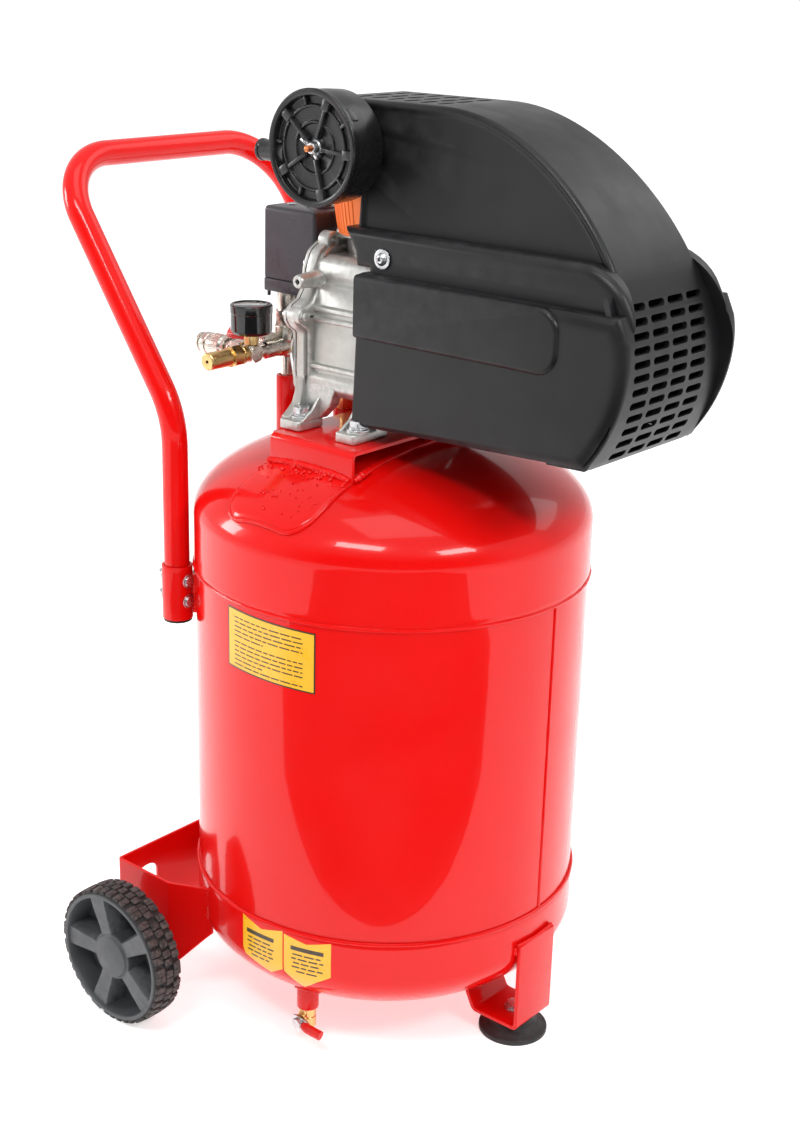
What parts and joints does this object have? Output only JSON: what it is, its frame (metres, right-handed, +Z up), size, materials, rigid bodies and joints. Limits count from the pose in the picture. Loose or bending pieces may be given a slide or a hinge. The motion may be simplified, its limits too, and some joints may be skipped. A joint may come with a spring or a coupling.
{
  "type": "air compressor",
  "caption": "Upright portable air compressor: red tank on wheels with a tube handle, direct-drive pump under a black shroud, intake filter, gauge and outlet coupler.",
  "frame": {"origin": "centre of the base of the whole object's box, at floor level", "axes": "+Z up; +X from the handle towards the cooling grille; the intake filter is on the -Y side"},
  "size_m": [0.6116, 0.5102, 0.8752],
  "materials": {
    "red_paint": "gloss powder coat",
    "red_plastic": "gloss",
    "black_plastic": "satin, finely grained",
    "gauge_black": "gloss",
    "cast_aluminium": "as cast, tumbled",
    "zinc_steel": "zinc plated",
    "brass": "turned, bare",
    "nickel": "nickel plated",
    "tyre_rubber": "matte, block tread",
    "foot_rubber": "matte",
    "grey_plastic": "satin",
    "orange_plastic": "satin",
    "motor_iron": "varnished laminations",
    "foam": "open foam"
  },
  "bodies": {
    "compressor": {"air_guide": "orange_plastic", "axle_bolt_far": "zinc_steel", "axle_bolt_near": "zinc_steel", "check_valve": "brass", "check_valve_boss": "red_paint", "coupler_body": "nickel", "crankcase": "cast_aluminium", "crankcase_cover": "cast_aluminium", "cylinder": "cast_aluminium", "cylinder_head": "cast_aluminium", "discharge_pipe": "nickel", "drain_boss": "red_paint", "drain_valve": "brass", "filter_base": "black_plastic", "filter_cover": "black_plastic", "filter_element": "foam", "filter_wing_nut": "zinc_steel", "foot_bolt": "zinc_steel", "foot_bracket": "red_paint", "gauge_case": "gauge_black", "handle_bolt_far_1": "zinc_steel", "handle_bolt_far_2": "zinc_steel", "handle_bolt_near_1": "zinc_steel", "handle_bolt_near_2": "zinc_steel", "handle_socket_far": "red_paint", "handle_socket_near": "red_paint", "handle_tube": "red_paint", "manifold": "nickel", "motor_end_bell": "cast_aluminium", "motor_stator": "motor_iron", "pump_bolt_1": "zinc_steel", "pump_bolt_2": "zinc_steel", "pump_saddle": "red_paint", "riser_pipe": "red_paint", "rubber_foot": "foot_rubber", "saddle_pad": "red_paint", "safety_valve": "brass", "shroud": "black_plastic", "shroud_screw": "zinc_steel", "switch_base": "black_plastic", "switch_cover": "black_plastic", "tank_barrel": "red_paint", "tank_bottom_head": "red_paint", "tank_top_head": "red_paint", "valve_plate": "zinc_steel", "wheel_bracket": "red_paint"},
    "wheel_near": {"wheel_hub_near": "grey_plastic", "tyre_near": "tyre_rubber"},
    "wheel_far": {"wheel_hub_far": "grey_plastic", "tyre_far": "tyre_rubber"},
    "crank_assembly": {"crankshaft": "zinc_steel", "motor_rotor": "motor_iron", "cooling_fan": "black_plastic"},
    "piston": {"piston": "cast_aluminium"},
    "connecting_rod": {"connecting_rod": "cast_aluminium"},
    "switch_knob": {"switch_knob": "red_plastic"},
    "regulator_knob": {"regulator_knob": "red_plastic"},
    "coupler_sleeve": {"coupler_sleeve": "zinc_steel"},
    "drain_lever": {"drain_lever": "red_plastic"},
    "gauge_needle": {"gauge_needle": "gauge_black"}
  },
  "joints": [
    {"name": "wheel_near_spin", "type": "hinge", "parent": "compressor", "child": "wheel_near", "pos_m": [-0.12238, -0.237, 0.0688], "axis": [0, 1, 0], "continuous": true},
    {"name": "wheel_far_spin", "type": "hinge", "parent": "compressor", "child": "wheel_far", "pos_m": [-0.12238, 0.237, 0.0688], "axis": [0, 1, 0], "continuous": true},
    {"name": "crank_spin", "type": "hinge", "parent": "compressor", "child": "crank_assembly", "pos_m": [0.10712, 0, 0.668], "axis": [1, 0, 0], "continuous": true},
    {"name": "piston_stroke", "type": "slide", "parent": "compressor", "child": "piston", "axis": [0, 0, 1], "range_m": [-0.04, 0]},
    {"name": "rod_swing", "type": "hinge", "parent": "piston", "child": "connecting_rod", "pos_m": [-0.00888, 0, 0.77], "axis": [1, 0, 0], "range_deg": [-14, 14]},
    {"name": "switch_pull", "type": "slide", "parent": "compressor", "child": "switch_knob", "axis": [0, 0, 1], "range_m": [0, 0.006]},
    {"name": "regulator_turn", "type": "hinge", "parent": "compressor", "child": "regulator_knob", "pos_m": [-0.14288, -0.045, 0.636], "axis": [1, 0, 0], "range_deg": [-180, 180]},
    {"name": "coupler_release", "type": "slide", "parent": "compressor", "child": "coupler_sleeve", "axis": [1, 0, 0], "range_m": [0, 0.0035], "stiffness_N_per_m": 900, "springref_m": -0.003},
    {"name": "drain_turn", "type": "hinge", "parent": "compressor", "child": "drain_lever", "pos_m": [0.04012, -0.162, 0.024], "axis": [0, 1, 0], "range_deg": [-90, 0]},
    {"name": "gauge_reading", "type": "hinge", "parent": "compressor", "child": "gauge_needle", "pos_m": [-0.10788, -0.0715, 0.674], "axis": [0, 0, 1], "range_deg": [-270, 0]}
  ]
}
